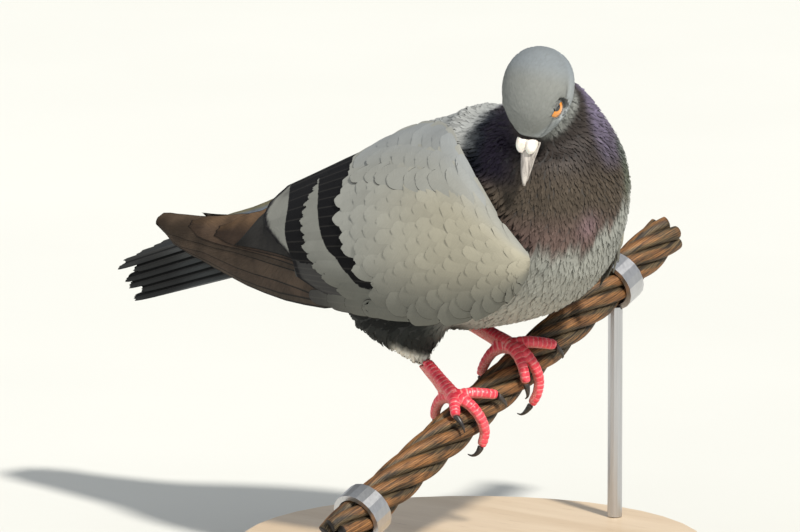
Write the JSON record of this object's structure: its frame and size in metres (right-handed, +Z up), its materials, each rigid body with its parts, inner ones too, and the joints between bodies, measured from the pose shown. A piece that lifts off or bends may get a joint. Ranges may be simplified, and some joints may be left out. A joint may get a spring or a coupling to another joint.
{
  "type": "pigeon",
  "caption": "Life-size rock pigeon looking down as it grips a short length of wire rope, held by two rods on a round display base.",
  "frame": {"origin": "centre of the stand's underside", "axes": "+X the way the bird's body faces, +Y its left side, +Z up"},
  "size_m": [0.2712, 0.2144, 0.2233],
  "materials": {
    "head_plumage": "smooth matt blue-grey feathers",
    "neck_plumage": "dark grey feathers with a green and purple sheen",
    "body_plumage": "soft matt blue-grey feathers",
    "wing_plumage": "pale ash-grey coverts with two black bars",
    "flight_feathers": "brown-grey flight feathers, slightly glossy",
    "tail_feathers": "dark slate feathers with black tips",
    "eye": "wet orange iris with a black pupil",
    "horn": "dark grey horn, satin",
    "cere": "matt white bare skin",
    "leg_skin": "coral-red scaly skin",
    "perch_rope": "weathered steel wire, rust-orange on the strands",
    "stand_wood": "pale maple, satin lacquer",
    "stand_steel": "brushed stainless rod"
  },
  "bodies": {
    "root": {"head": "head_plumage", "neck": "neck_plumage", "trunk": "body_plumage", "eye_left": "eye", "eye_right": "eye", "bill_upper": "horn", "bill_lower": "horn", "cere": "cere", "wing_left_shield": "wing_plumage", "wing_left_primaries": "flight_feathers", "wing_right_shield": "wing_plumage", "wing_right_primaries": "flight_feathers", "tail": "tail_feathers", "thigh_left": "body_plumage", "foot_left": "leg_skin", "claw_left_hallux": "horn", "claw_left_inner": "horn", "claw_left_middle": "horn", "claw_left_outer": "horn", "thigh_right": "body_plumage", "foot_right": "leg_skin", "claw_right_hallux": "horn", "claw_right_inner": "horn", "claw_right_middle": "horn", "claw_right_outer": "horn", "rope_strand_1": "perch_rope", "rope_strand_2": "perch_rope", "rope_strand_3": "perch_rope", "rope_strand_4": "perch_rope", "rope_strand_5": "perch_rope", "rope_strand_6": "perch_rope", "rope_core": "perch_rope", "stand_base": "stand_wood", "stand_rod_low": "stand_steel", "stand_collar_low": "stand_steel", "stand_rod_high": "stand_steel", "stand_collar_high": "stand_steel"}
  },
  "joints": []
}
